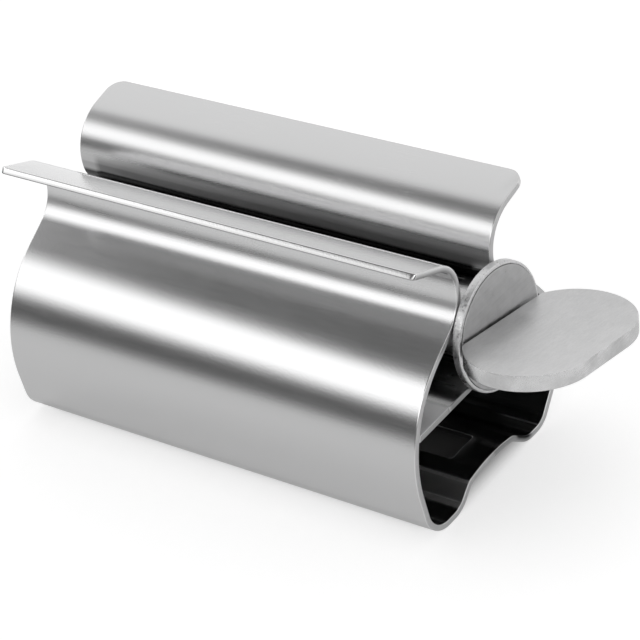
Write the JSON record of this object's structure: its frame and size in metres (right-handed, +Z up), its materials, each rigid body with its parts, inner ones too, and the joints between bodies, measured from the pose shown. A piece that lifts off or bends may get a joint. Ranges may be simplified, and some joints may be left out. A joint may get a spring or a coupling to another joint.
{
  "type": "toothpaste tube squeezer",
  "caption": "Folded steel tube squeezer: the tube's tail drops through a throat between two flared lips onto a slotted key with an oblong thumb plate, turned to wind the tube up.",
  "frame": {"origin": "middle of the front foot's flat, halfway along the shell, on the surface the squeezer stands on", "axes": "+X along the shell towards the key's head, +Y from the front lip to the back, +Z up"},
  "size_m": [0.1126, 0.0429, 0.0472],
  "materials": {
    "shell_steel": "satin, fine straight grain along the shell",
    "shelf_steel": "satin",
    "key_steel": "satin",
    "disc_steel": "matte, lightly brushed",
    "plate_steel": "matte, brushed across the plate",
    "weld_metal": "rough, as welded and wire brushed"
  },
  "bodies": {
    "squeezer": {"shell": "shell_steel", "shelf": "shelf_steel", "shelf_welds": "weld_metal"},
    "key_collar": {"collar": "disc_steel"},
    "key": {"key_shaft": "key_steel", "head_disc": "disc_steel", "thumb_plate": "plate_steel", "thumb_weld": "weld_metal"}
  },
  "joints": [
    {"name": "key_slide", "type": "slide", "parent": "squeezer", "child": "key_collar", "axis": [1, 0, 0], "range_m": [0, 0.08]},
    {"name": "key_turn", "type": "hinge", "parent": "key_collar", "child": "key", "pos_m": [0.0459, 0.0191, 0.0269], "axis": [1, 0, 0], "continuous": true}
  ]
}
